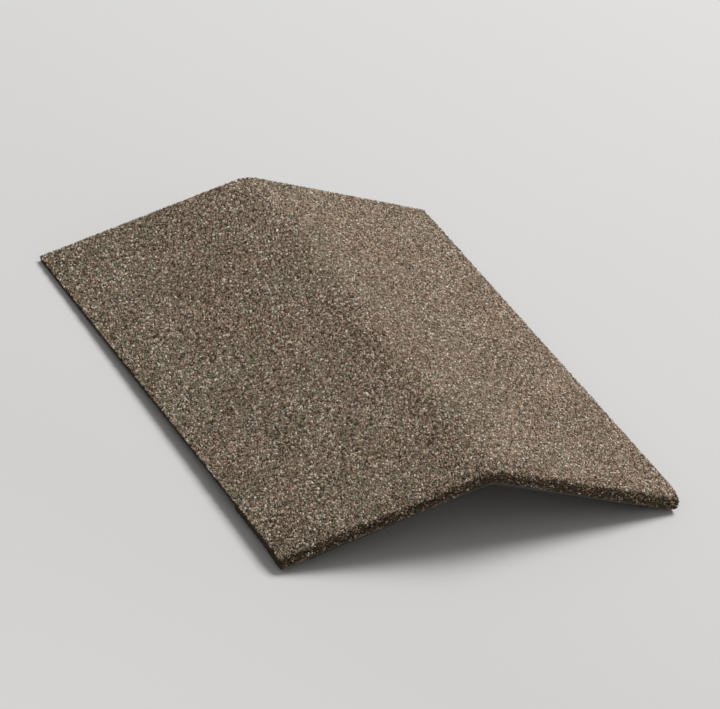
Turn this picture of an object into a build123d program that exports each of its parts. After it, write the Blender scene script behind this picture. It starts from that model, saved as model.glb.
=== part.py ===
from build123d import *
import math
import os

# One hip and ridge cap shingle, bent over the hip as it is laid, and standing on a level floor.
# Frame in millimetres: X across the bend, Y from the butt edge to the head, Z up from the floor.
# The origin is on the floor, under the middle of the cap.

# Driving dimensions of the sheet
exposure = 203.0            # length left in the weather when the next cap is laid
headlap = 134.0             # hidden length, under the next cap
flat_width = 284.0          # side to side, before bending
sheet_thickness = 4.2       # asphalt sheet with its granules

# Driving dimensions of the bend over the hip
wing_slope = 17.0           # each wing below the crown line, in degrees
bend_radius = 30.0          # at the granule face

# Driving dimensions of the folded butt edge
fold_return = 62.0          # from the butt edge to the end of the sheet turned back under it
shoulder_radius = 34.0      # the granule face rolls down softly before the nose
shoulder_angle = 20.0       # turned by the shoulder, in degrees
eye_radius = 0.5            # the stiff sheet can't close on itself, and leaves an eye behind the nose
eye_length = 24.0           # from the nose's centre to where the two layers meet

# Driving dimensions of the seal strip under the fold
seal_width = 19.0
seal_thickness = 2.6        # below the nose
seal_setback = 2.5          # from the butt edge to the strip's front
seal_side_inset = 16.0      # bare fold at each end of the strip
seal_edge_round = 1.0       # the poured strip has rounded lower edges

# Sizes of the section that follow from the ones above
cap_length = exposure + headlap
nose_radius = sheet_thickness + eye_radius
shoulder_turn = math.radians(shoulder_angle)
shoulder_start = nose_radius + (shoulder_radius - nose_radius) * math.sin(shoulder_turn)
nose_centre_drop = shoulder_radius - (shoulder_radius - nose_radius) * math.cos(shoulder_turn)
nose_bottom_drop = nose_centre_drop + nose_radius

# The flap closes on the sheet along a line that touches the eye, from its rise over the eye's length
bond_start = nose_radius + eye_length
closing_rise = nose_centre_drop - sheet_thickness
closing_angle = math.atan(closing_rise / eye_length) + math.asin(eye_radius / math.hypot(eye_length, closing_rise))
flap_start = bond_start + sheet_thickness * math.tan(closing_angle / 2)
nose_angle = 180 - shoulder_angle + math.degrees(closing_angle)

# Sizes of the bend that follow from the ones above
slope = math.radians(wing_slope)
neutral_radius = bend_radius - sheet_thickness / 2
wing_straight = flat_width / 2 - neutral_radius * slope
tangent_x = bend_radius * math.sin(slope)
tangent_drop = bend_radius * (1 - math.cos(slope))
edge_drop = tangent_drop + wing_straight * math.sin(slope)

# The cap rests on the lower corners of its nose and of its head. The nose reaches lower, so the crown line
# tips down towards the head by this angle.
rest_tilt = math.atan(
    (nose_bottom_drop - sheet_thickness) * math.cos(slope) / (cap_length - nose_radius)
)

# Place of the crown line's butt end, from the head's corner on the floor and from both ends of the box
nose_corner_drop = edge_drop + nose_centre_drop * math.cos(slope)
nose_reach = nose_radius * math.hypot(math.cos(rest_tilt), math.sin(rest_tilt) * math.cos(slope))
front_y = nose_radius * math.cos(rest_tilt) - nose_corner_drop * math.sin(rest_tilt) - nose_reach
back_y = cap_length * math.cos(rest_tilt)
head_corner_drop = edge_drop + sheet_thickness * math.cos(slope)
crown_height = cap_length * math.sin(rest_tilt) + head_corner_drop * math.cos(rest_tilt)

# Plane of the crown line, with its y towards the head, and the plane square across it at the butt
crown_plane = Plane(
    origin=(0, -(front_y + back_y) / 2, crown_height),
    x_dir=(1, 0, 0),
    z_dir=(0, math.sin(rest_tilt), math.cos(rest_tilt)),
)
butt_plane = Plane(origin=crown_plane.origin, x_dir=crown_plane.x_dir, z_dir=-crown_plane.y_dir)


def add_bend_line(side_inset):
    """Draw the granule face's line over the bend, on the butt plane: wing, crown and wing."""
    straight = wing_straight - side_inset
    end_x = tangent_x + straight * math.cos(slope)
    end_drop = tangent_drop + straight * math.sin(slope)
    Line((-end_x, -end_drop), (-tangent_x, -tangent_drop))
    ThreePointArc((-tangent_x, -tangent_drop), (0, 0), (tangent_x, -tangent_drop))
    Line((tangent_x, -tangent_drop), (end_x, -end_drop))


def section_plane(side_inset):
    """Plane square to the left wing's end, with its x towards the head and its y out of the granule face."""
    straight = wing_straight - side_inset
    end_x = tangent_x + straight * math.cos(slope)
    end_drop = tangent_drop + straight * math.sin(slope)
    along_wing = butt_plane.x_dir * math.cos(slope) + butt_plane.y_dir * math.sin(slope)
    return Plane(
        origin=butt_plane.from_local_coords(Vector(-end_x, -end_drop)),
        x_dir=crown_plane.y_dir,
        z_dir=along_wing,
    )


def add_sheet_outline():
    """Draw the folded sheet's outline: top face, shoulder, nose, the flap that closes on the sheet, and the head."""
    top = Line((cap_length, 0), (shoulder_start, 0))
    shoulder = JernArc(top @ 1, top % 1, shoulder_radius, shoulder_angle)
    nose = JernArc(shoulder @ 1, shoulder % 1, nose_radius, nose_angle)
    closing = Line(nose @ 1, (flap_start, -2 * sheet_thickness))
    Polyline(
        closing @ 1,
        (fold_return, -2 * sheet_thickness),
        (fold_return, -sheet_thickness),
        (cap_length, -sheet_thickness),
        top @ 0,
    )


# Cap sheet: one sheet with its front folded under, carried round the bend
with BuildPart() as cap_sheet:
    with BuildLine(butt_plane) as sheet_path:
        add_bend_line(side_inset=0)
    with BuildSketch(section_plane(side_inset=0)):
        with BuildLine():
            add_sheet_outline()
        make_face()
        with BuildLine():
            eye_roof = Line((bond_start, -sheet_thickness), (shoulder_start, -sheet_thickness))
            eye_shoulder = JernArc(eye_roof @ 1, eye_roof % 1, shoulder_radius - sheet_thickness, shoulder_angle)
            eye_nose = JernArc(eye_shoulder @ 1, eye_shoulder % 1, eye_radius, nose_angle)
            Line(eye_nose @ 1, eye_roof @ 0)
        make_face(mode=Mode.SUBTRACT)
    sweep(path=sheet_path.wire())
cap_sheet.part.label = "cap_sheet"

# Seal strip: asphalt poured along the underside of the nose, short of both sides
with BuildPart() as seal_strip:
    with BuildLine(butt_plane) as seal_path:
        add_bend_line(side_inset=seal_side_inset)
    with BuildSketch(section_plane(side_inset=seal_side_inset)) as seal_section:
        seal_back = seal_setback + seal_width
        seal_bottom = -nose_bottom_drop - seal_thickness
        with BuildLine():
            Polyline(
                (seal_setback, -nose_centre_drop),
                (seal_setback, seal_bottom),
                (seal_back, seal_bottom + seal_width * math.tan(closing_angle)),
                (seal_back, -nose_centre_drop),
                close=True,
            )
        make_face()
        with BuildLine():
            add_sheet_outline()
        make_face(mode=Mode.SUBTRACT)
        fillet(seal_section.vertices().sort_by(Axis.Y)[:2], radius=seal_edge_round)
    sweep(path=seal_path.wire())
seal_strip.part.label = "seal_strip"

os.makedirs("parts", exist_ok=True)
export_step(cap_sheet.part, "parts/cap_sheet.step")
export_step(seal_strip.part, "parts/seal_strip.step")

cap_box = cap_sheet.part.bounding_box()
print("rest tilt", round(math.degrees(rest_tilt), 3), "degrees")
print("cap from", cap_box.min, "to", cap_box.max)
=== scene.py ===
# %% [markdown]
# # A hip and ridge cap shingle
#
# A cap shingle covers a hip or a ridge. It is one sheet of asphalt with stone granules pressed into its
# face, bent to a shallow V, and its front edge is folded under to look thick. This lesson dresses the
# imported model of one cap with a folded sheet, a coat of real granules and a seal strip.
#
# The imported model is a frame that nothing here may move. Pieces drawn by eye would have to be fitted to it,
# so they are worked out from the sizes that it was drawn from. Sizes are in millimetres, and MM turns them
# into Blender's metres.

import itertools
import math

import bpy
import numpy as np
from mathutils import Matrix, Vector


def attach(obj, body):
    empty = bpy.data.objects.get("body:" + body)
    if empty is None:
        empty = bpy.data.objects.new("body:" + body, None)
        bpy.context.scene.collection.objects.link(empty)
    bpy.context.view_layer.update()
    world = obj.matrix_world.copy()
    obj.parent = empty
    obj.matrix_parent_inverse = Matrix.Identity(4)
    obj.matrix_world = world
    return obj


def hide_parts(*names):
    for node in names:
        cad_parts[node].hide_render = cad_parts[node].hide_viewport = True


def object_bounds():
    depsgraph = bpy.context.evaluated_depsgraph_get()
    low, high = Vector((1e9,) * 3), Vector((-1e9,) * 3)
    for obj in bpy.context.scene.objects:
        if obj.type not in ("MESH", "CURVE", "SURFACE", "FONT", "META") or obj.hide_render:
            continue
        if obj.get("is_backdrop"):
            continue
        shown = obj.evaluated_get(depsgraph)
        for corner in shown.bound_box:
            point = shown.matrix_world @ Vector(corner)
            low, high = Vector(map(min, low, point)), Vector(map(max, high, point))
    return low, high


MM = 0.001
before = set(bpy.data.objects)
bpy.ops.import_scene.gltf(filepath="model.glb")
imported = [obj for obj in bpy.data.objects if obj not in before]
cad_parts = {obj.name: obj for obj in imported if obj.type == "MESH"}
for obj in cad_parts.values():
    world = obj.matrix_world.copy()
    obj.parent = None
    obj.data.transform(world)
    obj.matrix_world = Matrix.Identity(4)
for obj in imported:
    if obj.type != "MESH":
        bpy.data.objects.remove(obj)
scene = bpy.context.scene
cad_low, cad_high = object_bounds()
print("nodes", sorted(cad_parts))
print("CAD box, mm", [round((high - low) / MM, 1) for low, high in zip(cad_low, cad_high)])

# %% [markdown]
# The camera comes before the pieces, because it settles how fine the detail has to be. The photograph shows
# the cap from its lower left, from about three and a half metres, with the camera rolled a little. A longer
# lens at the same place keeps the perspective and fills the picture. A Track To constraint could aim the
# camera, but takes the roll away. A matrix from three angles keeps it: its columns are the camera's right,
# up and back.

# %% Camera at the photograph's viewing angle
AZIMUTH, ELEVATION, ROLL = math.radians(-33.46), math.radians(32.21), math.radians(11.79)
CAMERA_DISTANCE = 3.426  # in metres, as is the target
LENS, SENSOR_WIDTH = 282.0, 36.0
camera_target = Vector((0.0, 0.0, 0.022))

back = Vector((
    math.sin(AZIMUTH) * math.cos(ELEVATION),
    -math.cos(AZIMUTH) * math.cos(ELEVATION),
    math.sin(ELEVATION),
))
level_right = Vector((math.cos(AZIMUTH), math.sin(AZIMUTH), 0.0))
level_up = back.cross(level_right)
right = level_right * math.cos(ROLL) + level_up * math.sin(ROLL)
up = back.cross(right)
camera_axes = Matrix((right, up, back)).transposed().to_4x4()


def add_object(name, data):
    """A new object with this data, linked to the scene."""
    thing = bpy.data.objects.new(name, data)
    scene.collection.objects.link(thing)
    return thing


camera = add_object("camera", bpy.data.cameras.new("camera"))
camera.matrix_world = Matrix.Translation(camera_target + back * CAMERA_DISTANCE) @ camera_axes
camera.data.lens = LENS
camera.data.sensor_width = SENSOR_WIDTH
camera.data.clip_start = 0.1
camera.data.clip_end = 60.0
scene.camera = camera
print("camera at", camera.matrix_world.translation.to_tuple(3), "m")

# %% [markdown]
# The cap's size in the picture is known before anything is rendered: the picture is as wide as the camera's
# distance times the sensor's width over the lens. At 1.65 pixels to the millimetre a granule is two or
# three pixels wide, so each one has to be a real stone.

# %% The cap in the picture
IMAGE_WIDTH, IMAGE_HEIGHT = 720, 709
pixels_per_metre = LENS / SENSOR_WIDTH * IMAGE_WIDTH / CAMERA_DISTANCE
corners = [Vector(corner) - camera_target for corner in itertools.product(*zip(cad_low, cad_high))]
from_left = [IMAGE_WIDTH / 2 + pixels_per_metre * corner.dot(right) for corner in corners]
from_top = [IMAGE_HEIGHT / 2 - pixels_per_metre * corner.dot(up) for corner in corners]
print("scale", round(pixels_per_metre * MM, 2), "pixels per mm")
for side, places, whole in (("left", from_left, IMAGE_WIDTH), ("top", from_top, IMAGE_HEIGHT)):
    print("from the", side, round(min(places)), "to", round(max(places)), "of", whole)

# %% [markdown]
# The fold makes a cap look thick. The sheet runs flat from the head edge, rolls down over a soft shoulder,
# turns round a tight nose, closes on itself past a small eye, and lies under itself as a flap. Its sizes
# are repeated from the solid model, because this script reads only the frame. From them follow how far each
# stretch lies below the crown line, and where it starts on the granule face. That distance from the head
# edge is called ribbon here.

# %% Sizes of the folded section
EXPOSURE = 203.0  # stays in the weather once laid
HEADLAP = 134.0  # lies hidden once laid
SHEET_THICKNESS = 4.2  # with its granules
SHOULDER_RADIUS = 34.0
SHOULDER_TURN = math.radians(20.0)
EYE_RADIUS = 0.5
EYE_LENGTH = 24.0  # from the nose's centre to where the two layers meet
FOLD_RETURN = 62.0  # from the butt edge to the flap's end

cap_length = EXPOSURE + HEADLAP
nose_radius = SHEET_THICKNESS + EYE_RADIUS
shoulder_start_along = nose_radius + (SHOULDER_RADIUS - nose_radius) * math.sin(SHOULDER_TURN)
nose_centre_drop = SHOULDER_RADIUS - (SHOULDER_RADIUS - nose_radius) * math.cos(SHOULDER_TURN)
nose_bottom_drop = nose_centre_drop + nose_radius
closing_rise = nose_centre_drop - SHEET_THICKNESS
closing_slope = math.atan(closing_rise / EYE_LENGTH)
closing_angle = closing_slope + math.asin(EYE_RADIUS / math.hypot(EYE_LENGTH, closing_rise))
closing_drop = nose_centre_drop + nose_radius * math.cos(closing_angle)
flap_drop = 2 * SHEET_THICKNESS

shoulder_starts = cap_length - shoulder_start_along
nose_starts = shoulder_starts + SHOULDER_RADIUS * SHOULDER_TURN
nose_turn = math.pi - SHOULDER_TURN + closing_angle
nose_ends = nose_starts + nose_radius * nose_turn
nose_end_along = nose_radius * (1 + math.sin(closing_angle))
flap_starts = nose_ends + (closing_drop - flap_drop) / math.sin(closing_angle)
flap_start_along = nose_end_along + (flap_starts - nose_ends) * math.cos(closing_angle)
sheet_ends = flap_starts + FOLD_RETURN - flap_start_along
print("cap", cap_length, "mm long, from a sheet", round(sheet_ends, 1), "mm long on its granule face")

# %% [markdown]
# Every piece lies on the folded sheet. A Simple Deform modifier could bend an object, but to one radius
# only, and the fold has a wide one, a narrow one and straight stretches. One function of two numbers, the
# ribbon distance and the depth under the granule face, is exact and serves all the pieces.

# %% The fold
def fold(ribbon, depth):
    """(along from the butt, down from the crown line) of a point of the folded section.

    ribbon runs from the head edge on the granule face: straight to the shoulder, down it on a wide circle,
    round the nose on a narrow one, up the closing line to the sheet, and straight along it as the flap. A
    circle of radius r that takes the heading from a to b moves the point by r (sin b - sin a) towards the
    butt and by r (cos a - cos b) down. depth is measured square to the face, into the sheet.
    """
    roll = np.clip((ribbon - shoulder_starts) / SHOULDER_RADIUS, 0, SHOULDER_TURN)
    heading = roll + np.clip((ribbon - nose_starts) / nose_radius, 0, nose_turn)
    closing = np.clip(ribbon, nose_ends, flap_starts) - nose_ends
    flap = np.maximum(ribbon, flap_starts) - flap_starts
    along = cap_length - np.minimum(ribbon, shoulder_starts) - SHOULDER_RADIUS * np.sin(roll)
    along = along - nose_radius * (np.sin(heading) - np.sin(roll))
    along = along + closing * math.cos(closing_angle) + flap
    down = SHOULDER_RADIUS * (1 - np.cos(roll)) + nose_radius * (np.cos(roll) - np.cos(heading))
    down = down - closing * math.sin(closing_angle)
    heading = np.where(ribbon > flap_starts, math.pi, heading)
    return along + depth * np.sin(heading), down + depth * np.cos(heading)


for place, ribbon in {"head": 0, "nose": nose_ends, "flap": flap_starts, "flap's end": sheet_ends}.items():
    print(place, [round(float(value), 2) for value in fold(np.array(ribbon), 0)], "mm along and down")

# %% [markdown]
# The folded sheet is bent over the hip, into two flat wings with a soft crown between them. It rests on the
# lower corners of its nose and of its head, and because the butt is thick, the crown line tips down towards
# the head. A rigid body simulation could find that angle, but the two corners give it at once.

# %% Sizes of the bend and of the cap at rest
FLAT_WIDTH = 284.0  # side to side, before bending
SLOPE = math.radians(17.0)  # each wing below the crown line
BEND_RADIUS = 30.0  # at the granule face

half_width = FLAT_WIDTH / 2
neutral_radius = BEND_RADIUS - SHEET_THICKNESS / 2
bend_half = neutral_radius * SLOPE
tangent_drop = BEND_RADIUS * (1 - math.cos(SLOPE))
edge_drop = tangent_drop + (half_width - bend_half) * math.sin(SLOPE)

rest_tilt = math.atan((nose_bottom_drop - SHEET_THICKNESS) * math.cos(SLOPE) / (cap_length - nose_radius))
nose_reach = nose_radius * math.hypot(math.cos(rest_tilt), math.sin(rest_tilt) * math.cos(SLOPE))
nose_corner_drop = edge_drop + nose_centre_drop * math.cos(SLOPE)
front_y = nose_radius * math.cos(rest_tilt) - nose_corner_drop * math.sin(rest_tilt) - nose_reach
crown_y = -(front_y + cap_length * math.cos(rest_tilt)) / 2
head_corner_drop = edge_drop + SHEET_THICKNESS * math.cos(SLOPE)
crown_z = cap_length * math.sin(rest_tilt) + head_corner_drop * math.cos(rest_tilt)
print("sides", round(edge_drop, 1), "mm below the crown line")
print("crown line tipped by", round(math.degrees(rest_tilt), 2), "degrees")

# %% [markdown]
# A modifier could bend a piece, and turning the object could tip it. As functions that come after the fold,
# both leave every object unturned at the origin, as the frame wants it. on_cap takes points of the flat
# sheet to their places in the world.

# %% The bend and the place on the floor
def bend(across, down):
    """(x, drop) of a point after the bend over the hip.

    Near the crown line the sheet follows a circle: its angle is the distance across over the neutral
    radius, and its radius is the bend radius less the depth. Past that it runs straight down the wing.
    """
    angle = np.clip(across / neutral_radius, -SLOPE, SLOPE)
    out = np.maximum(np.abs(across) - bend_half, 0)
    x = (BEND_RADIUS - down) * np.sin(angle) + np.sign(across) * out * math.cos(SLOPE)
    drop = BEND_RADIUS - (BEND_RADIUS - down) * np.cos(angle) + out * math.sin(SLOPE)
    return x, drop


def stand(across, along, down):
    """World points in metres, one row each: the bent points of the section, tipped by the rest tilt."""
    x, drop = bend(across, down)
    y = crown_y + along * math.cos(rest_tilt) - drop * math.sin(rest_tilt)
    z = crown_z - along * math.sin(rest_tilt) - drop * math.cos(rest_tilt)
    return np.stack([x, y, z], axis=-1) * MM


def on_cap(across, ribbon, depth):
    """World points in metres of points of the flat sheet: folded, then bent and tipped."""
    return stand(across, *fold(ribbon, depth))


head_corner = on_cap(np.array(half_width), np.array(0.0), SHEET_THICKNESS)
print("lower corner of the head, mm", (head_corner / MM).round(2).tolist())

# %% [markdown]
# The finishes start with colour. A colour is written in hex, as a screen shows it, but a shader reckons in
# linear light, where twice the number is twice the light. Blender's colour picker converts it, but a value
# that a script sets is taken as linear, so every colour goes through one function first.

# %% Colours from hex codes
def linear(hex_code):
    """Linear colour of an sRGB hex code.

    Each channel c is c / 12.92 up to 0.04045, and ((c + 0.055) / 1.055) ** 2.4 above it.
    """
    channels = np.array([int(hex_code[i:i + 2], 16) / 255 for i in (0, 2, 4)])
    low = channels / 12.92
    high = ((channels + 0.055) / 1.055) ** 2.4
    return (*np.where(channels <= 0.04045, low, high).tolist(), 1.0)


print("mid grey on a screen is", round(linear("808080")[0], 3), "in linear light")

# %% [markdown]
# A material is a tree of nodes. It could be wired by hand in the Shader Editor, but written out it reads
# like a recipe. start_material also gives the Object coordinates, which are metres from the cap's origin on
# every piece, so a pattern's scale is one over its real width.

# %% Helpers for nodes
def set_inputs(tree, node, inputs):
    """Give each of these inputs of a node its value, or a link from another node's output.

    A node that is given as the value stands for its first output.
    """
    for name, value in inputs.items():
        if isinstance(value, bpy.types.Node):
            value = value.outputs[0]
        if isinstance(value, bpy.types.NodeSocket):
            tree.links.new(value, node.inputs[name])
        else:
            node.inputs[name].default_value = value


def add_node(tree, kind, inputs=None, stops=None, **settings):
    """Add a shader node. stops are the stops of its ramp, and settings are its properties."""
    node = tree.nodes.new("ShaderNode" + kind)
    for name, value in settings.items():
        setattr(node, name, value)
    set_inputs(tree, node, inputs or {})
    for number, (position, colour) in enumerate(stops or []):
        elements = node.color_ramp.elements
        element = elements[number] if number < 2 else elements.new(position)
        element.position = position
        element.color = colour
    return node


def start_material(name):
    """A new material, its node tree, its shader, and the Object coordinates that its patterns read."""
    material = bpy.data.materials.new(name)
    material.use_nodes = True
    tree = material.node_tree
    position = add_node(tree, "TexCoord").outputs["Object"]
    return material, tree, tree.nodes["Principled BSDF"], position


print("helpers for nodes: set_inputs, add_node, start_material")

# %% [markdown]
# Roofing granules are crushed rock with a thin fired coat of ceramic colour. One shade would look like
# paint: a blend mixes several, and the eye sees the mix. A Noise Texture could mix them, but its
# borders would cut across the stones. So each granule carries a number of its own, and a ramp with hard
# steps turns it into one of ten colours, from dark to light.

# %% Ceramic coated stone granules: colour
# Fired ceramic on rock: to the eye, dry stones of plain colours, each one even but for small flecks
# The darkest colours are real blend colours, but round the nose they are drawn most often, as painted shade
GRANULE_COLOURS = (
    "45351e", "66533d", "846852", "90856e", "9f967f", "ae937d", "c1a58e", "d3bea7", "e7d9c4", "fdf5ea",
)
FLECK_WIDTH = 0.3 * MM  # of the mineral flecks inside one granule
NOISE_MIDDLE = {"From Min": 0.3, "From Max": 0.7}  # a noise lies between these nearly everywhere
MIX_A, MIX_B, MIX_RESULT = 6, 7, 2  # a Mix node's colour sockets go by number

granule_stone, tree, shader, position = start_material("ceramic_coated_stone_granules")
pick = add_node(tree, "Attribute", attribute_name="granule_colour").outputs["Fac"]
colour_count = len(GRANULE_COLOURS)
stops = [(number / colour_count, linear(code)) for number, code in enumerate(GRANULE_COLOURS)]
palette = add_node(tree, "ValToRGB", {"Fac": pick}, stops)
palette.color_ramp.interpolation = "CONSTANT"
fleck = add_node(tree, "TexNoise", {"Vector": position, "Scale": 1 / FLECK_WIDTH, "Detail": 2.0})
fleck_level = add_node(tree, "MapRange", {"Value": fleck, **NOISE_MIDDLE, "To Min": 0.88, "To Max": 1.12})
colours = {"Factor": 1.0, MIX_A: palette, MIX_B: fleck_level}
flecked = add_node(tree, "Mix", colours, data_type="RGBA", blend_type="MULTIPLY")
set_inputs(tree, shader, {"Base Color": flecked.outputs[MIX_RESULT]})
print(granule_stone.name, "with", colour_count, "colours")

# %% [markdown]
# A broken stone is rough: unglazed ceramic has a roughness of 0.6 to 0.85, and the IOR of glass. Its finest
# break could be modelled, but it is smaller than a pixel, so a bump does as well and adds no triangles.

# %% Ceramic coated stone granules: surface
BREAK_WIDTH, BREAK_DEPTH = 0.2 * MM, 0.06 * MM  # of the pits in a broken face

dullness = add_node(tree, "MapRange", {"Value": fleck, **NOISE_MIDDLE, "To Min": 0.6, "To Max": 0.85})
broken = add_node(tree, "TexNoise", {"Vector": position, "Scale": 1 / BREAK_WIDTH, "Detail": 3.0})
relief = add_node(tree, "Bump", {"Height": broken, "Strength": 0.5, "Distance": BREAK_DEPTH})
set_inputs(tree, shader, {"Roughness": dullness, "IOR": 1.5, "Normal": relief})
print(granule_stone.name, "with", len(tree.nodes), "nodes")

# %% [markdown]
# The sheet itself is a glass mat soaked and coated with asphalt, near black and dull. Its back is greyed by
# a dusting of fine mineral, which keeps caps from sticking in their pack. Two materials would meet in a
# hard line, so one serves the whole sheet, and an attribute that is 1 on the back drives the dust.

# %% Filled asphalt sheet: dust on the back
# Asphalt with ground limestone in it: to the eye, a dull brown black that dust turns grey
DUST_GRAIN = 0.5 * MM  # real dust is finer than a pixel, so its grains are drawn coarse enough to show
DUST_PATCH = 38 * MM  # the dust lies thicker in patches about this wide
DUST_EDGE = 0.22  # two noises add up to about 1; dust goes from none to full this far each side

asphalt_sheet, tree, shader, position = start_material("filled_asphalt_sheet")
dusted = add_node(tree, "Attribute", attribute_name="dusted").outputs["Fac"]
grain = add_node(tree, "TexNoise", {"Vector": position, "Scale": 1 / DUST_GRAIN, "Detail": 3.0})
patch = add_node(tree, "TexNoise", {"Vector": position, "Scale": 1 / DUST_PATCH, "Detail": 4.0})
dust_cover = add_node(tree, "Math", {0: grain, 1: patch}, operation="ADD")
dust_range = {"From Min": 1 - DUST_EDGE, "From Max": 1 + DUST_EDGE}
dust_amount = add_node(tree, "MapRange", {"Value": dust_cover, **dust_range})
back_amount = add_node(tree, "Math", {0: dust_amount, 1: dusted}, operation="MULTIPLY")
print(asphalt_sheet.name, "has dust in patches", round(DUST_PATCH / MM), "mm wide")

# %% [markdown]
# The knife leaves the sides bare, and the limestone in the asphalt shows there as fine pale specks. A noise
# would give soft clouds, so a Voronoi Texture draws them: its distance is 0 at one point in each cell, and
# a ramp makes that a speck. Filled asphalt is dull, with half the usual gloss.

# %% Filled asphalt sheet: specks and surface
SPECK_SPACING = 0.8 * MM  # a speck is about half as wide
DUST_RELIEF = 0.25 * MM

speck = add_node(tree, "TexVoronoi", {"Vector": position, "Scale": 1 / SPECK_SPACING})
stops = [(0.16, linear("4c3f31")), (0.34, linear("261d15"))]
speck_colour = add_node(tree, "ValToRGB", {"Fac": speck}, stops)
colours = {"Factor": back_amount, MIX_A: speck_colour, MIX_B: linear("6f6a62")}
sheet_colour = add_node(tree, "Mix", colours, data_type="RGBA")
sheet_dullness = add_node(tree, "MapRange", {"Value": dust_amount, "To Min": 0.75, "To Max": 0.95})
sheet_relief = add_node(tree, "Bump", {"Height": dust_cover, "Strength": 0.6, "Distance": DUST_RELIEF})
set_inputs(tree, shader, {
    "Base Color": sheet_colour.outputs[MIX_RESULT],
    "Roughness": sheet_dullness,
    "IOR": 1.5,
    "Specular IOR Level": 0.25,
    "Normal": sheet_relief,
})
print(asphalt_sheet.name, "with", len(tree.nodes), "nodes")

# %% [markdown]
# The seal strip is a softer asphalt, poured hot in a line. A flat black would look like a gap under the
# cap. Half gloss and slow ripples show that it was poured, so one noise varies its colour and gloss and
# lifts the ripples.

# %% Poured seal asphalt
# Unfilled asphalt: to the eye, black with a brown cast, and smooth. Its IOR is about 1.55
RIPPLE_WIDTH, RIPPLE_HEIGHT = 7 * MM, 0.6 * MM

seal_asphalt, tree, shader, position = start_material("poured_seal_asphalt")
ripple = add_node(tree, "TexNoise", {"Vector": position, "Scale": 1 / RIPPLE_WIDTH, "Detail": 3.0})
stops = [(0.35, linear("141110")), (0.7, linear("241f1b"))]
skin = add_node(tree, "ValToRGB", {"Fac": ripple}, stops)
gloss = add_node(tree, "MapRange", {"Value": ripple, **NOISE_MIDDLE, "To Min": 0.28, "To Max": 0.46})
ripple_relief = add_node(tree, "Bump", {"Height": ripple, "Strength": 0.5, "Distance": RIPPLE_HEIGHT})
set_inputs(tree, shader, {
    "Base Color": skin,
    "Roughness": gloss,
    "IOR": 1.55,
    "Normal": ripple_relief,
})
print(seal_asphalt.name, "with", len(tree.nodes), "nodes")

# %% [markdown]
# Each piece is worked out as whole arrays and then becomes a mesh. A loop could add the points one by one,
# but the granules alone have more than half a million, and foreach_set takes a whole array at once.

# %% Arrays into a mesh
def add_mesh(name, vertices, faces, smooth):
    """Object at the origin with these vertices, in metres, and these faces, one row of corners each."""
    mesh = bpy.data.meshes.new(name)
    mesh.vertices.add(len(vertices))
    mesh.loops.add(faces.size)
    mesh.polygons.add(len(faces))
    mesh.vertices.foreach_set("co", vertices.astype(np.float32).ravel())
    mesh.loops.foreach_set("vertex_index", faces.astype(np.int32).ravel())
    mesh.polygons.foreach_set("loop_start", np.arange(0, faces.size, faces.shape[1], dtype=np.int32))
    mesh.polygons.foreach_set("loop_total", np.full(len(faces), faces.shape[1], dtype=np.int32))
    mesh.update(calc_edges=True)
    mesh.validate()
    if smooth:
        mesh.shade_smooth()
    else:
        mesh.shade_flat()
    return add_object(name, mesh)


def add_values(piece, name, values):
    """Give each vertex of a piece a number of its own, which a material reads by this name."""
    attribute = piece.data.attributes.new(name, "FLOAT", "POINT")
    attribute.data.foreach_set("value", values.astype(np.float32))


print("helpers for meshes: add_mesh, add_values")

# %% [markdown]
# A sound mesh has no triangle with a corner twice, and its faces point outwards. Recalculate Outside would
# guess the outside. The signed volume needs no guess: it is negative when a closed mesh is inside out.

# %% Sound triangles
def without_pinched(triangles):
    """These triangles, less those that have a corner twice, as where two points were made one."""
    a, b, c = triangles.T
    return triangles[(a != b) & (b != c) & (c != a)]


def triangles_of(quads):
    """Two triangles from each quad, on its first and third corners."""
    return without_pinched(np.concatenate([quads[:, [0, 1, 2]], quads[:, [0, 2, 3]]]))


def volume(vertices, triangles):
    """Signed volume: a sixth of the sum of a . (b x c) over the triangles, above 0 if they face out."""
    a, b, c = (vertices[triangles[:, k]] for k in range(3))
    return float((a * np.cross(b, c)).sum() / 6)


def facing_out(vertices, triangles):
    """These triangles, turned over if their volume is negative."""
    return triangles if volume(vertices, triangles) > 0 else triangles[:, ::-1]


pyramid = np.array([[0, 0, 0], [1, 0, 0], [0, 1, 0], [0, 0, 1]])
sides = facing_out(pyramid, np.array([[0, 1, 2], [0, 3, 1], [1, 3, 2], [2, 3, 0]]))
print("a unit cube's corner holds", round(volume(pyramid, sides), 4))

# %% [markdown]
# The folded sheet is the dark body of the cap, and shows between the granules, on the cut sides and on the
# back. A Solidify modifier could thicken a surface, but would leave its cut sides dead flat. So the sheet
# is a profile carried along a path. The profile is a loop: the granule side from the head edge to the
# flap's end, the cut end there, the back, and the cut end at the head. It leaves room for the granules, and
# its back is a little short, so that a line shows where the flap meets the sheet.

# %% Profile of the folded sheet
GRANULE_ROOM = 0.8
BACK_SLACK = 0.12
EDGE_ROUND = 0.35  # eases the edges: the cut ends start this far from the faces
STEPS = (111, 8, 24, 8, 20)  # over the flat, the shoulder, the nose, the closing line and the flap
CUT_ROWS = 4

stretch_ends = (0, shoulder_starts, nose_starts, nose_ends, flap_starts, sheet_ends)
stations = np.concatenate([
    np.linspace(start, end, steps + 1)[:-1]
    for start, end, steps in zip(stretch_ends, stretch_ends[1:], STEPS)
])
stations[0] = EDGE_ROUND
stations = np.append(stations, sheet_ends - EDGE_ROUND)
inner_depth = SHEET_THICKNESS - BACK_SLACK
cut_depths = np.linspace(GRANULE_ROOM + EDGE_ROUND, inner_depth - EDGE_ROUND, CUT_ROWS)

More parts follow.
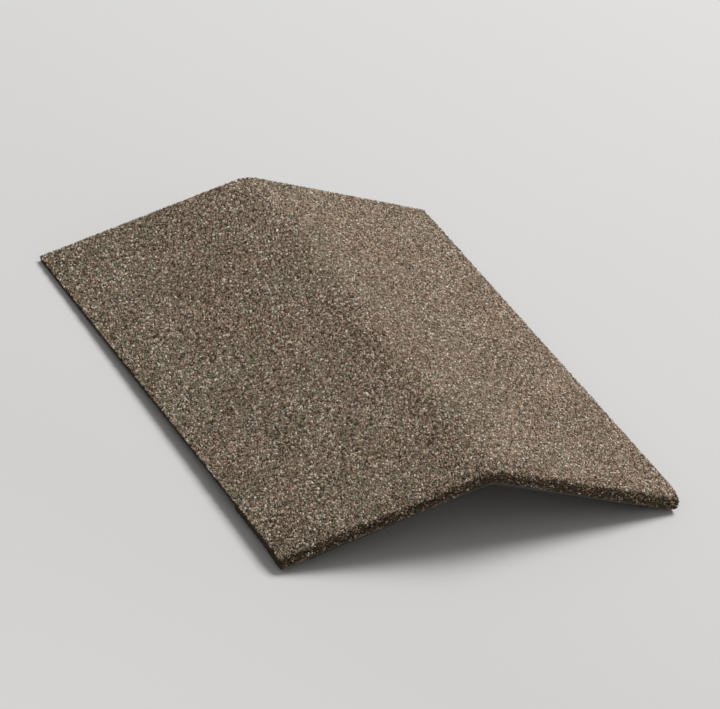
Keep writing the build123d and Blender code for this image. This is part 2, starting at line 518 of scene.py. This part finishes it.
station_count = len(stations)
granule_side = np.full(station_count, GRANULE_ROOM)
back_side = np.full(station_count, inner_depth)
loop_ribbon = np.concatenate([stations, np.full(CUT_ROWS, sheet_ends), stations[::-1], np.zeros(CUT_ROWS)])
loop_depth = np.concatenate([granule_side, cut_depths, back_side, cut_depths[::-1]])
loop_count = len(loop_ribbon)
print("profile of", loop_count, "points,", round(inner_depth - GRANULE_ROOM, 2), "mm thick")

# %% [markdown]
# The path runs across the cap. Its lines lie nearly 6 mm apart on the flat wings and closer over the crown.
# An Array modifier can't space them like that, but a list of lines can, and one call carries the loop to
# all of them.

# %% Profile carried across the cap
WING_LINES, CROWN_LINES = 24, 13


def tube_quads(lines, around):
    """Quads between neighbouring lines of points. Each line is a closed loop of this many points."""
    row, column = np.meshgrid(np.arange(lines - 1), np.arange(around), indexing="ij")
    this = row * around + column
    after = row * around + (column + 1) % around
    return np.stack([this, after, after + around, this + around], axis=-1).reshape(-1, 4)


wing_lines = np.linspace(bend_half, half_width - EDGE_ROUND, WING_LINES)
crown_lines = np.linspace(-bend_half, bend_half, CROWN_LINES)[1:-1]
lines = np.concatenate([-wing_lines[::-1], crown_lines, wing_lines])
shell = on_cap(lines[:, None], loop_ribbon, loop_depth).reshape(-1, 3)
sheet_quads = [tube_quads(len(lines), loop_count)]
print(len(lines), "lines,", round(wing_lines[1] - wing_lines[0], 1), "mm apart on the wings")

# %% [markdown]
# A knife cuts the sides square and nearly straight. One flat face could close each side, but a real cut
# wavers by a tenth of a millimetre, which breaks up its shine. So each side is a grid of points pushed in
# at random. Its rim is the end loop's own points, which leaves no gap.

# %% Cut sides of the sheet
KNIFE_WANDER, WANDER_LIMIT = 0.12, 2.5  # the usual push, and the most, in times the usual one
rng = np.random.default_rng(11)

# Numbers of the loop's points: from the head to the flap's end on the faces, and inwards on the cut ends
outer_loop = np.arange(station_count)
flap_loop = station_count + np.arange(CUT_ROWS)
inner_loop = (station_count + CUT_ROWS + np.arange(station_count))[::-1]
head_loop = (2 * station_count + CUT_ROWS + np.arange(CUT_ROWS))[::-1]
rim = np.r_[0, 0:station_count, station_count - 1]
sheet_parts = [shell]
for side in (-1, 1):
    first = 0 if side < 0 else (len(lines) - 1) * loop_count
    pushed = KNIFE_WANDER * np.abs(rng.standard_normal((station_count, CUT_ROWS))).clip(0, WANDER_LIMIT)
    side_points = on_cap(side * (half_width - pushed), stations[:, None], cut_depths)
    offset = sum(len(part) for part in sheet_parts)
    middle = offset + np.arange(station_count * CUT_ROWS).reshape(station_count, CUT_ROWS)
    middle = np.concatenate([[first + head_loop], middle, [first + flap_loop]])
    net = np.column_stack([first + outer_loop[rim], middle, first + inner_loop[rim]])
    quads = np.stack([net[:-1, :-1], net[1:, :-1], net[1:, 1:], net[:-1, 1:]], axis=-1).reshape(-1, 4)
    sheet_quads.append(quads if side > 0 else quads[:, ::-1])
    sheet_parts.append(side_points.reshape(-1, 3))
    print("cut side", side, "pushed in by", pushed.mean().round(3), "mm on average")

# %% [markdown]
# Shell and sides become one closed mesh. Smooth shading would round its cut edges to the eye, and flat
# shading would show the quads of the nose, so only edges that turn by more than 28 degrees are sharp. The
# piece stands for the solid sheet.

# %% Folded sheet
SHARP_ANGLE = math.radians(28)

sheet_vertices = np.concatenate(sheet_parts)
sheet_faces = facing_out(sheet_vertices, triangles_of(np.concatenate(sheet_quads)))
is_back = np.zeros(len(sheet_vertices))
is_back[:len(shell)] = np.isin(np.arange(len(shell)) % loop_count, inner_loop)

folded_sheet = add_mesh("folded_sheet", sheet_vertices, sheet_faces, smooth=True)
folded_sheet.data.set_sharp_from_angle(angle=SHARP_ANGLE)
add_values(folded_sheet, "dusted", is_back)
folded_sheet.data.materials.append(asphalt_sheet)
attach(folded_sheet, "root")
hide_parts("cap_sheet")
sheet_volume = volume(sheet_vertices / MM, sheet_faces)
print("folded sheet", len(sheet_faces), "triangles, volume", round(sheet_volume), "mm3")

# %% [markdown]
# Roofing granules are sieved to between about 1 and 2 mm, and pressed into the hot asphalt until they
# nearly cover it. A bump would leave the cap's edges smooth, so each granule is a real stone. Geometry
# Nodes could scatter stones on the bent sheet, but their cut, colour and map go by their places on the flat
# one. Pressed stones lie nearly evenly, like staggered rows with each stone pushed a little off its place.

# %% Places of the granules
GRANULE_SPACING = 1.14  # between the places in a row
GRANULE_PUSH = 0.32  # the most that a stone lies off its place, as a share of the spacing
HEAD_MARGIN, SIDE_MARGIN = 0.3, 0.2  # from the sheet's cut ends and sides to the nearest places
rng = np.random.default_rng(23)

row_step = GRANULE_SPACING * math.sqrt(3) / 2  # as in a lattice of equal triangles
ribbon_rows = np.arange(HEAD_MARGIN, sheet_ends - HEAD_MARGIN, row_step)
across_steps = np.arange(-half_width + SIDE_MARGIN, half_width - SIDE_MARGIN, GRANULE_SPACING)
ribbon_at, across_at = np.meshgrid(ribbon_rows, across_steps, indexing="ij")
across_at = across_at + (np.arange(len(ribbon_rows)) % 2)[:, None] * GRANULE_SPACING / 2
across_push = rng.uniform(-GRANULE_PUSH, GRANULE_PUSH, across_at.shape)
ribbon_push = rng.uniform(-GRANULE_PUSH, GRANULE_PUSH, ribbon_at.shape)
across_at = (across_at + across_push * GRANULE_SPACING).ravel()
ribbon_at = (ribbon_at + ribbon_push * GRANULE_SPACING).ravel()
print(len(ribbon_rows), "rows of", len(across_steps), "places")

# %% [markdown]
# Round the nose the granule face stretches, and its stones lie further apart. Spreading them would shift
# their rows, so some are left out at random: a little under half of what the stretch makes room for,
# because a bare nose would look worn. The seal strip has none under it, but for its edges.

# %% Granules that stay
SEAL_WIDTH = 19.0
SEAL_SETBACK = 2.5  # from the butt edge to the strip's front
SEAL_SIDE_INSET = 16.0  # bare fold at each end of the strip
SEAL_MARGIN = 1.5  # stones reach this far under the strip's edges
NOSE_EASE = 0.12  # share of the nose's turn over which the stretch sets in
BARE_SHARE = 0.45  # of what the stretch makes room for
SIDE_ROOM = 0.1  # no stone's middle lies closer to a cut side

stretch = nose_radius / (nose_radius - SHEET_THICKNESS / 2)
turn_at = (ribbon_at - nose_starts) / (nose_ends - nose_starts)
on_nose = np.clip(np.minimum(turn_at, 1 - turn_at) / NOSE_EASE, 0, 1)
share_kept = 1 - on_nose * (1 - 1 / stretch) * BARE_SHARE
along_at, _ = fold(ribbon_at, 0)
under_seal = (
    (ribbon_at > (nose_starts + nose_ends) / 2)
    & (along_at > SEAL_SETBACK + SEAL_MARGIN)
    & (along_at < SEAL_SETBACK + SEAL_WIDTH - SEAL_MARGIN)
    & (np.abs(across_at) < half_width - SEAL_SIDE_INSET - SEAL_MARGIN)
)
chosen = rng.random(len(ribbon_at)) < share_kept
kept = chosen & ~under_seal & (np.abs(across_at) < half_width - SIDE_ROOM)
across_at, ribbon_at = across_at[kept], ribbon_at[kept]
granule_count = len(across_at)
print(granule_count, "granules, after leaving out", int((~kept).sum()))

# %% [markdown]
# A stone that is repeated a hundred thousand times has few faces. An Ico Sphere has twenty and looks round.
# A crushed stone has flats and corners, and eight faces do: an uneven triangle on top, a wider one below,
# turned by 60 degrees, and six sloping faces between them. On the flat sheet the knife's cut is simply a
# limit on how far across a corner may lie.

# %% Shape of a stone
CORNER_TURNS = np.radians([0, 120, 240, 60, 180, 300])  # three on top, then three below
CORNER_SWING = 0.35  # in radians, each way
TOP_REACH, FOOT_REACH = (0.5, 0.85), (0.85, 1.15)  # in times the stone's radius
SQUEEZE = (0.75, 1.0)  # the stone's width over its length
TOP_LEVEL = (0.75, 1.0)  # a top corner's height over the stone's
BURIED = 0.3  # depth of the foot under the asphalt's face
STONE_CORNERS = len(CORNER_TURNS)


def stones(rng, across, ribbon, size, height):
    """Corners (stones, 6, 3) as across, ribbon, depth of eight-faced stones, three on top and three buried.

    A corner's angle is its own share of the circle plus the stone's random turn and a swing. Its distance
    from the stone's middle is a random share of the radius, which is half the size. The plan is squeezed
    along one axis, and turned by the stone's lean. Depth is the room for granules less the corner's height.
    """
    n = len(across)
    turn = rng.uniform(0, 2 * math.pi, (n, 1)) + CORNER_TURNS
    turn = turn + rng.uniform(-CORNER_SWING, CORNER_SWING, (n, STONE_CORNERS))
    reach = np.concatenate([rng.uniform(*TOP_REACH, (n, 3)), rng.uniform(*FOOT_REACH, (n, 3))], axis=1)
    reach = reach * size[:, None] / 2
    squeeze = rng.uniform(*SQUEEZE, (n, 1))
    lean = rng.uniform(0, math.pi, (n, 1))
    dx, dy = reach * np.cos(turn), reach * np.sin(turn) * squeeze
    corner_across = across[:, None] + dx * np.cos(lean) - dy * np.sin(lean)
    corner_ribbon = ribbon[:, None] + dx * np.sin(lean) + dy * np.cos(lean)
    top = GRANULE_ROOM - height[:, None] * rng.uniform(*TOP_LEVEL, (n, 3))
    foot = np.full((n, 3), GRANULE_ROOM + BURIED)
    corner_across = np.clip(corner_across, -half_width, half_width)
    corner_ribbon = np.clip(corner_ribbon, 0, sheet_ends)
    return np.stack([corner_across, corner_ribbon, np.concatenate([top, foot], axis=1)], axis=-1)


print("corners reach", TOP_REACH, "of a stone's radius on top and", FOOT_REACH, "of it below")

# %% [markdown]
# Crushed stones spread evenly in proportion, not in millimetres, so a size is the exponential of a normal
# draw, and the sieves cut off both ends. One size for all would look like beads. A wide stone stands higher
# too.

# %% Stones on the cap
GRANULE_SIZE, GRANULE_SPREAD = 1.58, 0.2  # the middle size, and the spread of its logarithm
SMALLEST, LARGEST = 0.9, 2.2
LOWEST_TOP, HIGHEST_TOP = 0.5, 0.99  # of the room for granules

proportion = np.exp(GRANULE_SPREAD * rng.standard_normal(granule_count))
size = np.clip(GRANULE_SIZE * proportion, SMALLEST, LARGEST)
rise = LOWEST_TOP + (1 - LOWEST_TOP) * rng.random(granule_count) * size / GRANULE_SIZE
height = GRANULE_ROOM * np.minimum(rise, HIGHEST_TOP)
corners_flat = stones(rng, across_at, ribbon_at, size, height)
corners_world = on_cap(corners_flat[..., 0], corners_flat[..., 1], corners_flat[..., 2])
print("stones' mean size", size.mean().round(2), "mm, mean height", height.mean().round(2), "mm")

# %% [markdown]
# The plant drops several granule colours together, and the mix drifts slowly along the sheet between a warm,
# pinkish tan and a cooler, greenish grey. Equal odds everywhere would look printed, so each granule draws its
# colour with the odds of the mix at its place, given for the ten colours from dark to light. The mix follows
# a few long waves in random directions. It also leans, because the cap looks a little warmer on its lit right
# wing: this lean is painted light, warmer where the lamp falls and cooler in the shade of the left wing.

# %% How cool the mix is at each granule
WARM_ODDS = np.array([0.02, 0.08, 0.22, 0.02, 0.03, 0.27, 0.19, 0.09, 0.055, 0.025])
COOL_ODDS = np.array([0.03, 0.08, 0.08, 0.29, 0.27, 0.03, 0.06, 0.07, 0.06, 0.03])
HUE_WAVES = (45, 160, 9)  # the shortest and the longest wave in mm, and how many there are
USUAL_COOLNESS, COOLNESS_SWING, PAINTED_LIGHT_LEAN = 0.57, 0.6, 0.24


def drift(rng, across, ribbon, shortest, longest, waves):
    """Slow noise from 0 to 1: a half plus sines of random direction, length and phase.

    Their sum is divided by twice the root of twice their number, so that it swings by about a quarter.
    """
    total = np.zeros_like(across)
    draws = rng.uniform([0, shortest, 0], [2 * math.pi, longest, 2 * math.pi], (waves, 3))
    for direction, length, phase in draws:
        ahead = across * math.cos(direction) + ribbon * math.sin(direction)
        total += np.sin(2 * math.pi * ahead / length + phase)
    return np.clip(0.5 + 0.5 * total / math.sqrt(2 * waves), 0, 1)


hue_drift = drift(rng, across_at, ribbon_at, *HUE_WAVES) - 0.5
# The lean across the cap is painted light: warmer on the lit right wing, cooler on the shaded left one
coolness = USUAL_COOLNESS + COOLNESS_SWING * hue_drift - PAINTED_LIGHT_LEAN * across_at / half_width
print("coolness from", coolness.min().round(2), "to", coolness.max().round(2))

# %% [markdown]
# Lightness drifts too: long waves make the blotches that a cap shows from a distance, and short ones small
# clumps. Round the folded nose fewer stones stay, so real asphalt shows between them. The stones there are
# also drawn darker and a little cooler, and that is painted shade: the butt lies in shade with the lamp
# behind the cap. Darkening the colours would give shades that no granule has. Instead the random number that
# picks a colour is raised to a power: above 1 it picks darker stones more often.

# %% Colour of each granule
BLOTCH_WAVES, CLUMP_WAVES = (25, 110, 30), (2.5, 7, 80)
BLOTCH_SWING, CLUMP_SWING, PAINTED_SHADE_DARKENING, PAINTED_SHADE_COOLNESS = 0.4, 1.6, 2.0, 0.4
# Painted shade: round the folded nose the stones are drawn darker and cooler, for the shade that the butt
# lies in
SHADE_BEFORE, SHADE_RISE = 1, 4  # the nose's shade starts 1 mm before it and is full 4 mm further on
SHADE_AFTER, SHADE_FALL = 4, 6  # it ends 4 mm behind the nose, after fading over 6 mm

blotch = drift(rng, across_at, ribbon_at, *BLOTCH_WAVES) - 0.5
clump = drift(rng, across_at, ribbon_at, *CLUMP_WAVES) - 0.5
# painted_nose_shade is 1 where the nose's painted shade is full, and 0 away from the nose
shade_in = np.clip((ribbon_at - nose_starts + SHADE_BEFORE) / SHADE_RISE, 0, 1)
shade_out = np.clip((nose_ends + SHADE_AFTER - ribbon_at) / SHADE_FALL, 0, 1)
painted_nose_shade = shade_in * shade_out
coolness = np.clip(coolness + PAINTED_SHADE_COOLNESS * painted_nose_shade, 0, 1)[:, None]
odds = WARM_ODDS / WARM_ODDS.sum() * (1 - coolness) + COOL_ODDS / COOL_ODDS.sum() * coolness
power = np.exp(BLOTCH_SWING * blotch + CLUMP_SWING * clump + PAINTED_SHADE_DARKENING * painted_nose_shade)
draw = rng.random(granule_count) ** power
choice = (draw[:, None] > np.cumsum(odds, axis=1)).sum(axis=1).clip(0, colour_count - 1)
colour_value = (choice + 0.5) / colour_count  # the middle of the colour's step on the ramp
print("share of each colour", (np.bincount(choice) / granule_count).round(2).tolist())

# %% [markdown]
# A baked colour needs a map that unrolls the piece. Smart UV Project would scatter a stone's faces, and a
# small picture would mix them with their neighbours. Here every stone lies in plan view in a square cell of
# its own, so its colour stays its own. The map is named OFBake.

# %% Map of the stones
STONE_FACES = np.array([
    [0, 1, 2], [5, 4, 3], [0, 3, 1], [1, 4, 2], [2, 5, 0], [3, 4, 1], [4, 5, 2], [5, 3, 0],
])
CELL_ROOM = 1.5  # a cell is as wide as this many times the stone
CELL_EDGE = 0.05  # kept clear round each cell

stone_faces = facing_out(corners_world[0], STONE_FACES)


def stone_cells(corners, size, faces):
    """Map places, one for each face corner: the stone's plan view, in a square cell of its own.

    Stones fill the square row by row. A corner's place is its cell's, plus a half, plus its distance from
    the stone's middle over the cell's width, all divided by the number of cells in a row.
    """
    n = len(corners)
    side = math.ceil(math.sqrt(n))
    flat = corners[..., :2]
    plan = (flat - flat.mean(axis=1, keepdims=True)) / (CELL_ROOM * size[:, None, None])
    cell = np.stack([np.arange(n) % side, np.arange(n) // side], axis=-1)
    places = (cell[:, None] + np.clip(plan + 0.5, CELL_EDGE, 1 - CELL_EDGE)) / side
    return places[:, faces].astype(np.float32)


print("each stone has", STONE_CORNERS, "corners and", len(stone_faces), "faces")

# %% [markdown]
# One mesh could hold all the stones, but past 200,000 triangles a piece is thinned when it is written out.
# So the cap is cut into six bands across: two on the headlap, three on the part in the weather, and one
# round the folded butt and under it.

# %% Granule pieces
WEATHER_BAND = 66.0
band_ends = {
    "headlap_granules_1": HEADLAP / 2,
    "headlap_granules_2": HEADLAP,
    "weather_granules_1": HEADLAP + WEATHER_BAND,
    "weather_granules_2": HEADLAP + 2 * WEATHER_BAND,
    "weather_granules_3": nose_starts,
    "butt_granules": math.inf,
}

band_start = -math.inf
for name, band_end in band_ends.items():
    mine = (ribbon_at >= band_start) & (ribbon_at < band_end)
    band_start = band_end
    vertices = corners_world[mine].reshape(-1, 3)
    triangles = (stone_faces + STONE_CORNERS * np.arange(mine.sum())[:, None, None]).reshape(-1, 3)
    piece = add_mesh(name, vertices, triangles, smooth=False)
    add_values(piece, "granule_colour", np.repeat(colour_value[mine], STONE_CORNERS))
    stone_map = piece.data.uv_layers.new(name="OFBake")
    stone_map.data.foreach_set("uv", stone_cells(corners_flat[mine], size[mine], stone_faces).ravel())
    piece.data.materials.append(granule_stone)
    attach(piece, "root")
    print(name, len(triangles), "triangles, volume", round(volume(vertices / MM, triangles)), "mm3")

# %% [markdown]
# The seal strip is a bead that bonds the laid cap down against the wind. Laid hot, its edges wander a
# little and its ends are round. A curve with a bevel could make it, but its upper side has to follow the
# fold, so it too is a profile carried across the cap. First comes its plan: the lines across, crowded at
# the ends, and the front and back edge at each.

# %% Plan of the seal strip
END_LENGTH = 5.0
END_STEPS, MIDDLE_LINES = 8, 161
EDGE_WANDER, EDGE_WAVES = 0.5, (6, 40, 12)
THICKNESS_WANDER, THICKNESS_WAVES = 0.1, (12, 60, 8)
rng = np.random.default_rng(37)

seal_half = half_width - SEAL_SIDE_INSET
middle_half = seal_half - END_LENGTH
end_lines = END_LENGTH * (1 - np.cos(np.linspace(0, math.pi / 2, END_STEPS + 1)[:-1]))
middle_lines = np.linspace(-middle_half, middle_half, MIDDLE_LINES)
bead_across = np.concatenate([end_lines - seal_half, middle_lines, seal_half - end_lines[::-1]])
to_end = np.clip((np.abs(bead_across) - middle_half) / END_LENGTH, 0, 1)
end_round = np.sqrt(1 - to_end ** 2)[:, None]

crown_line = np.zeros_like(bead_across)
front_wander = EDGE_WANDER * drift(rng, bead_across, crown_line, *EDGE_WAVES)
back_wander = EDGE_WANDER * drift(rng, bead_across, crown_line, *EDGE_WAVES)
thinning = 1 - THICKNESS_WANDER * drift(rng, bead_across, crown_line, *THICKNESS_WAVES)
bead_front = (SEAL_SETBACK + front_wander)[:, None]
bead_back = (SEAL_SETBACK + SEAL_WIDTH - back_wander)[:, None]
print("bead", 2 * seal_half, "mm long and", (bead_back - bead_front).mean().round(1), "mm wide on average")

# %% [markdown]
# The section is half a superellipse. A power of 2 would look like a rope, and 4 gives the flat middle and
# round edges of a poured bead. The upper side lies inside the sheet, out of sight, so no gap can open.

# %% Section of the seal strip
SEAL_THICKNESS = 2.6  # below the nose
BEAD_POWER = 4.0
BEAD_POINTS = 25
BEAD_SUNK = 0.2  # depth of the bead's hidden side in the sheet


def underside(along):
    """How far the folded granule face lies below the crown line, seen from under the cap.

    Under the nose it is the lower half of the nose's circle. Behind that it rises along the closing line
    to the level of the flap.
    """
    nose = nose_centre_drop + np.sqrt(np.maximum(nose_radius ** 2 - (nose_radius - along) ** 2, 0))
    closing = closing_drop - (along - nose_end_along) * math.tan(closing_angle)
    return np.where(along < nose_end_along, nose, np.maximum(closing, flap_drop))


def superellipse(q):
    """Height of half a superellipse over its width: (1 - |2q - 1| ** p) ** (1 / p), for q from 0 to 1."""
    return (1 - np.abs(2 * q - 1) ** BEAD_POWER) ** (1 / BEAD_POWER)


q = (1 - np.cos(np.linspace(0, math.pi, BEAD_POINTS))) / 2
bead_middle = (bead_front + bead_back) / 2
along_bead = bead_middle + (bead_front + q * (bead_back - bead_front) - bead_middle) * end_round
hidden_down = underside(along_bead) - GRANULE_ROOM - BEAD_SUNK
solid_down = nose_bottom_drop + SEAL_THICKNESS - (along_bead - SEAL_SETBACK) * math.tan(closing_angle)
bead_down = hidden_down + (solid_down - hidden_down) * (superellipse(q) * end_round * thinning[:, None])
print("bead reaches", (bead_down - underside(along_bead)).max().round(2), "mm below the fold")

# %% [markdown]
# Each section becomes a loop, along the visible side and back along the hidden one. At the bead's ends the
# loops shrink to a point with many corners, which Merge by Distance would join in Blender, and merged does
# with arrays. The piece stands for the solid strip.

# %% Seal strip
def merged(vertices, triangles):
    """The same mesh with the corners of one place made one, to the nearest micrometre."""
    micrometres = (vertices * 1e6).round().astype(np.int64)
    _, first, number = np.unique(micrometres, axis=0, return_index=True, return_inverse=True)
    return vertices[first], without_pinched(number.reshape(-1)[triangles])


section_along = np.concatenate([along_bead, along_bead[:, -2:0:-1]], axis=1)
section_down = np.concatenate([bead_down, hidden_down[:, -2:0:-1]], axis=1)
bead_points = stand(bead_across[:, None], section_along, section_down).reshape(-1, 3)
bead_quads = tube_quads(*section_along.shape)
bead_vertices, bead_faces = merged(bead_points, triangles_of(bead_quads))
bead_faces = facing_out(bead_vertices, bead_faces)
seal_bead = add_mesh("seal_bead", bead_vertices, bead_faces, smooth=True)
seal_bead.data.materials.append(seal_asphalt)
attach(seal_bead, "root")
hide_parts("seal_strip")
bead_volume = volume(bead_vertices / MM, bead_faces)
print("seal bead", len(bead_faces), "triangles, volume", round(bead_volume), "mm3")

# %% [markdown]
# A plain pale floor takes the cap's shadow. Seen from low down, its far part would turn grey, because the
# lamp's light falls off with about the square of the distance r from the lamp's foot, the point below it. A
# second lamp could lift that part, but would light the cap too. So past the cap and its shadow, from r = s
# outwards, the floor glows by 1 - (s / r) ** 2 of a full amount. It glows only for rays that show the
# background, the camera's and those that gloss and glass send on, so it lights nothing.

# %% Rays that show the background
def seen_directly(tree):
    """1 for the camera's rays and for those that gloss or glass sends on, and 0 for the rest."""
    rays = add_node(tree, "LightPath").outputs
    seen = rays["Is Camera Ray"]
    for kind in ("Is Glossy Ray", "Is Transmission Ray"):
        seen = add_node(tree, "Math", {0: seen, 1: rays[kind]}, operation="MAXIMUM")
    return seen


LAMP_PLACE = (3.0, 1.56, 4.4)  # in metres
GLOW_STARTS, FULL_GLOW = 3.6, 0.5
lamp_foot = (*LAMP_PLACE[:2], 0.0)
print("glow from", GLOW_STARTS, "m, and the cap is", round(math.hypot(*lamp_foot), 2), "m from the foot")

# %% [markdown]
# The paint is matt, so the lamp leaves no bright patch, and a little off white, so it does not clip. One
# flat colour would look like paper, so two whites a shade apart drift into each other over half a metre.

# %% Pale matt floor paint
CLOUD_WIDTH = 500 * MM

floor_paint, tree, shader, position = start_material("pale_matt_floor")
cloud = add_node(tree, "TexNoise", {"Vector": position, "Scale": 1 / CLOUD_WIDTH, "Detail": 2.0})
colours = {"Factor": cloud, MIX_A: linear("dfdedc"), MIX_B: linear("e3e2e0")}
floor_colour = add_node(tree, "Mix", colours, data_type="RGBA")
from_foot = add_node(tree, "VectorMath", {0: position, 1: lamp_foot}, operation="DISTANCE")
nearness = add_node(tree, "Math", {0: GLOW_STARTS, 1: from_foot.outputs["Value"]}, operation="DIVIDE")
falloff = add_node(tree, "Math", {0: nearness, 1: 2.0}, operation="POWER")
glow_range = {"From Min": 1.0, "From Max": 0.0, "To Max": FULL_GLOW}
glow = add_node(tree, "MapRange", {"Value": falloff, **glow_range})
seen_glow = add_node(tree, "Math", {0: glow, 1: seen_directly(tree)}, operation="MULTIPLY")
set_inputs(tree, shader, {
    "Base Color": floor_colour.outputs[MIX_RESULT],
    "Roughness": 0.9,
    "Specular IOR Level": 0.2,
    "Emission Color": linear("ffffff"),
    "Emission Strength": seen_glow,
})
print(floor_paint.name, "with", len(tree.nodes), "nodes")

# %% [markdown]
# A curved backdrop would hide the floor's edge, but only from one side. One square, far wider than the
# picture, serves all views. It is marked as stage, because it is not part of the cap.

# %% Floor
FLOOR_HALF = 9.0  # in metres

floor_corners = FLOOR_HALF * np.array([[-1, -1, 0], [1, -1, 0], [1, 1, 0], [-1, 1, 0]])
floor = add_mesh("floor", floor_corners, np.array([[0, 1, 2, 3]]), smooth=False)
floor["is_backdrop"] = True
floor.data.materials.append(floor_paint)
print("floor", 2 * FLOOR_HALF, "m wide")

# %% [markdown]
# One wide lamp stands high behind the cap on its right, so that the right wing is the lighter one and the
# folded butt lies in shade, as in the photograph. A Sun light could do it, but a wide lamp close by is what
# a studio has, and its shadows are soft. A square lamp of power P lights a face square to it at distance d
# as P / (pi d) ** 2 times the face's colour, which gives its power from the level that is wanted.

# %% Lamp
LAMP_LEVEL = 0.815
LAMP_WIDTH = 2.8  # in metres


def add_lamp(name, place, level, width):
    """Square area lamp that looks at the cap. Its power is the level times (pi * distance) ** 2."""
    lamp = bpy.data.lights.new(name, "AREA")
    lamp.shape = "SQUARE"
    lamp.size = width
    lamp.energy = level * (math.pi * place.length) ** 2
    towards_cap = place.to_track_quat("Z", "Y").to_matrix().to_4x4()
    add_object(name, lamp).matrix_world = Matrix.Translation(place) @ towards_cap
    print(name, round(lamp.energy, 1), "W at", round(place.length, 2), "m")


add_lamp("key_lamp", Vector(LAMP_PLACE), LAMP_LEVEL, LAMP_WIDTH)

# %% [markdown]
# An even world fills the lamp's shadows, where a second lamp would throw shadows of its own. In low views
# the camera sees the world past the floor's edge, so for the rays that show the background it is as pale as
# the floor.

# %% World
WORLD_LEVEL, WORLD_SEEN = 0.28, 0.695

world = bpy.data.worlds.new("even_studio_light")
scene.world = world
world.use_nodes = True
tree = world.node_tree
levels = {"Value": seen_directly(tree), "To Min": WORLD_LEVEL, "To Max": WORLD_SEEN}
sky_level = add_node(tree, "MapRange", levels)
set_inputs(tree, tree.nodes["Background"], {"Color": linear("ffffff"), "Strength": sky_level})
scene.view_settings.view_transform = "Standard"
print("world lights at", WORLD_LEVEL, "and shows at", WORLD_SEEN)

# %% [markdown]
# Last, the box of the dressed cap is printed beside the box of the solids. No piece stands outside the solids
# where the difference is above 0 at the low corner and under 0 at the high one.

# %% Sizes and finish
low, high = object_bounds()
for corner, visual, cad in (("low", low, cad_low), ("high", high, cad_high)):
    print("visual less CAD,", corner, "corner, mm", [round((a - b) / MM, 3) for a, b in zip(visual, cad)])
